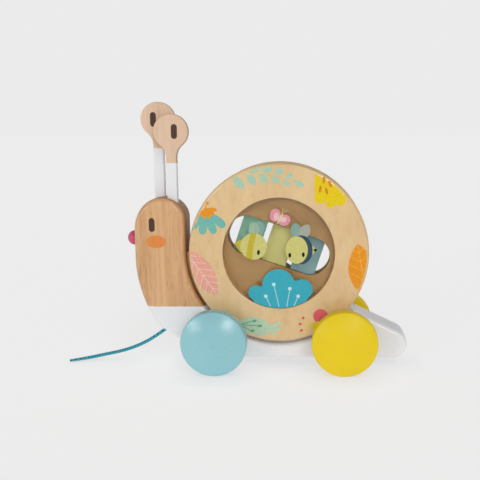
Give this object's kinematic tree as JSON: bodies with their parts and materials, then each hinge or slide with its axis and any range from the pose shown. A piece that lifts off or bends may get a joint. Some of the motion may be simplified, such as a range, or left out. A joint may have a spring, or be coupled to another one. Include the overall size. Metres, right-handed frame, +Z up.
{
  "type": "pull along toy",
  "caption": "Wooden pull-along snail on wheels with a round turning shell, sliding picture tiles behind a window, sliding board antennas and a pull cord.",
  "frame": {"origin": "middle of the length and width of the toy, on the floor, without the cord", "axes": "+X from head to tail, +Z up, -Y is the near side"},
  "size_m": [0.3229, 0.104, 0.2463],
  "materials": {
    "head_wood": "satin lacquer, white paint below the level paint line",
    "core_wood": "satin lacquer",
    "antenna_wood": "satin lacquer, white paint on the stem",
    "ring_ply": "satin lacquer with printed leaves and flowers",
    "panel_wood": "satin lacquer",
    "window_clear": "clear acrylic sheet, polished",
    "tile_green": "satin paint",
    "tile_olive": "satin paint",
    "tile_blue_grey": "satin paint",
    "wheel_blue": "gloss paint",
    "wheel_yellow": "gloss paint",
    "nose_pink": "gloss paint",
    "dowel_wood": "bare",
    "cord_teal": "round braid"
  },
  "bodies": {
    "body": {"side_board_near": "head_wood", "side_board_far": "head_wood", "body_core": "core_wood", "nose_ball": "nose_pink", "stop_peg_near": "dowel_wood", "stop_peg_far": "dowel_wood", "cord_knot": "cord_teal", "pull_cord": "cord_teal"},
    "front_wheels": {"axle_front": "dowel_wood", "wheel_front_near": "wheel_blue", "wheel_front_far": "wheel_blue", "spacer_front_near": "dowel_wood", "spacer_front_far": "dowel_wood"},
    "rear_wheels": {"axle_rear": "dowel_wood", "wheel_rear_near": "wheel_yellow", "wheel_rear_far": "wheel_yellow", "spacer_rear_near": "dowel_wood", "spacer_rear_far": "dowel_wood"},
    "shell": {"shell_ring_near": "ring_ply", "shell_ring_far": "ring_ply", "shell_panel_near": "panel_wood", "shell_panel_far": "panel_wood", "shell_channel": "panel_wood", "window_near": "window_clear", "window_far": "window_clear"},
    "near_antenna": {"antenna_near": "antenna_wood"},
    "far_antenna": {"antenna_far": "antenna_wood"},
    "left_tile": {"tile_left": "tile_green"},
    "middle_tile": {"tile_middle": "tile_olive"},
    "right_tile": {"tile_right": "tile_blue_grey"}
  },
  "joints": [
    {"name": "front_axle_spin", "type": "hinge", "parent": "body", "child": "front_wheels", "pos_m": [-0.0464, 0, 0.03], "axis": [0, 1, 0], "continuous": true},
    {"name": "rear_axle_spin", "type": "hinge", "parent": "body", "child": "rear_wheels", "pos_m": [0.0721, 0, 0.03], "axis": [0, 1, 0], "continuous": true},
    {"name": "shell_spin", "type": "hinge", "parent": "body", "child": "shell", "pos_m": [0.0118, 0, 0.1084], "axis": [0, 1, 0], "continuous": true},
    {"name": "antenna_near_slide", "type": "slide", "parent": "body", "child": "near_antenna", "axis": [0, 0, 1], "range_m": [0, 0.011]},
    {"name": "antenna_far_slide", "type": "slide", "parent": "body", "child": "far_antenna", "axis": [0, 0, 1], "range_m": [-0.011, 0]},
    {"name": "tile_left_slide", "type": "slide", "parent": "shell", "child": "left_tile", "axis": [0.9472, 0, -0.3206], "range_m": [-0.012, 0.002]},
    {"name": "tile_middle_slide", "type": "slide", "parent": "shell", "child": "middle_tile", "axis": [0.9472, 0, -0.3206], "range_m": [-0.0022, 0.0022]},
    {"name": "tile_right_slide", "type": "slide", "parent": "shell", "child": "right_tile", "axis": [0.9472, 0, -0.3206], "range_m": [-0.002, 0.0105]}
  ]
}
